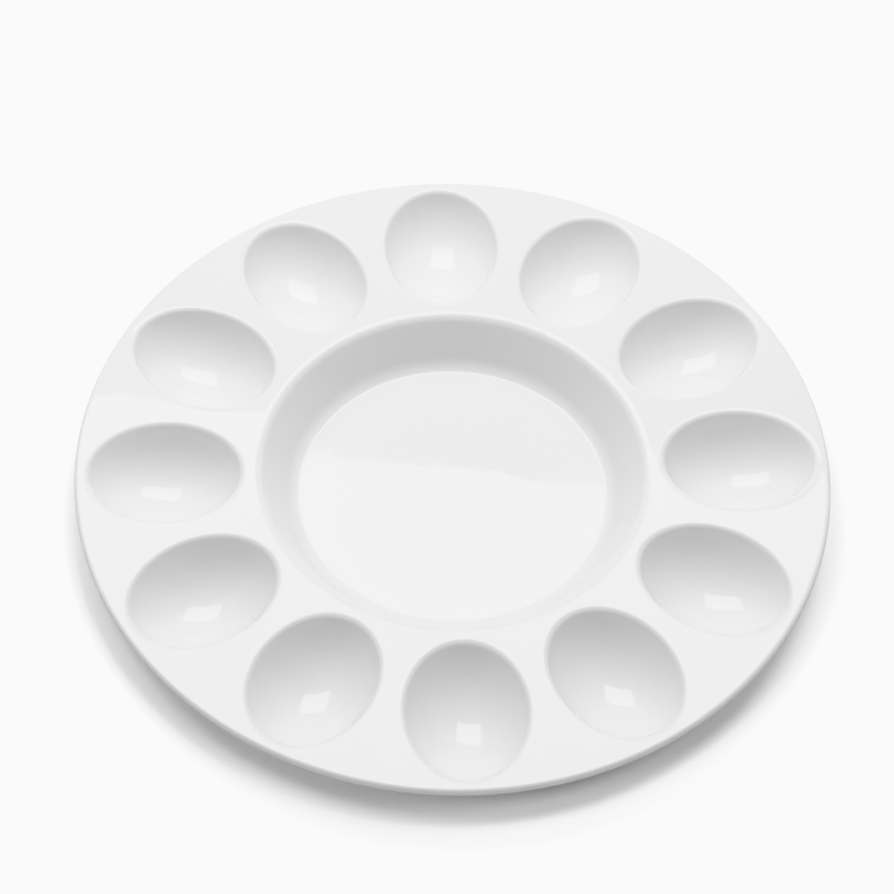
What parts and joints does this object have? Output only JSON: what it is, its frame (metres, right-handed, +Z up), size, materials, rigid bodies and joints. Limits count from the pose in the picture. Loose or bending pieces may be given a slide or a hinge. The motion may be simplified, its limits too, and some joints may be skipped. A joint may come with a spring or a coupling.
{
  "type": "mixing palette",
  "caption": "Round white glazed porcelain mixing palette: a flat deck with a ring of oval paint wells around a wide, deep central mixing dish, standing on a low foot ring.",
  "frame": {"origin": "centre of the plane that the palette stands on, on the axis of the foot ring", "axes": "+Z up, out of the wells and the dish; -Y towards well_01; wells numbered anticlockwise seen from above, one every 30 degrees"},
  "size_m": [0.3, 0.3, 0.0254],
  "materials": {
    "glaze": "clear gloss glaze over white porcelain",
    "bare_foot": "glazed sides with a bare, ground, matt sole"
  },
  "bodies": {
    "root": {"deck": "glaze", "well_01": "glaze", "well_02": "glaze", "well_03": "glaze", "well_04": "glaze", "well_05": "glaze", "well_06": "glaze", "well_07": "glaze", "well_08": "glaze", "well_09": "glaze", "well_10": "glaze", "well_11": "glaze", "well_12": "glaze", "centre_dish": "glaze", "foot_ring": "bare_foot"}
  },
  "joints": []
}
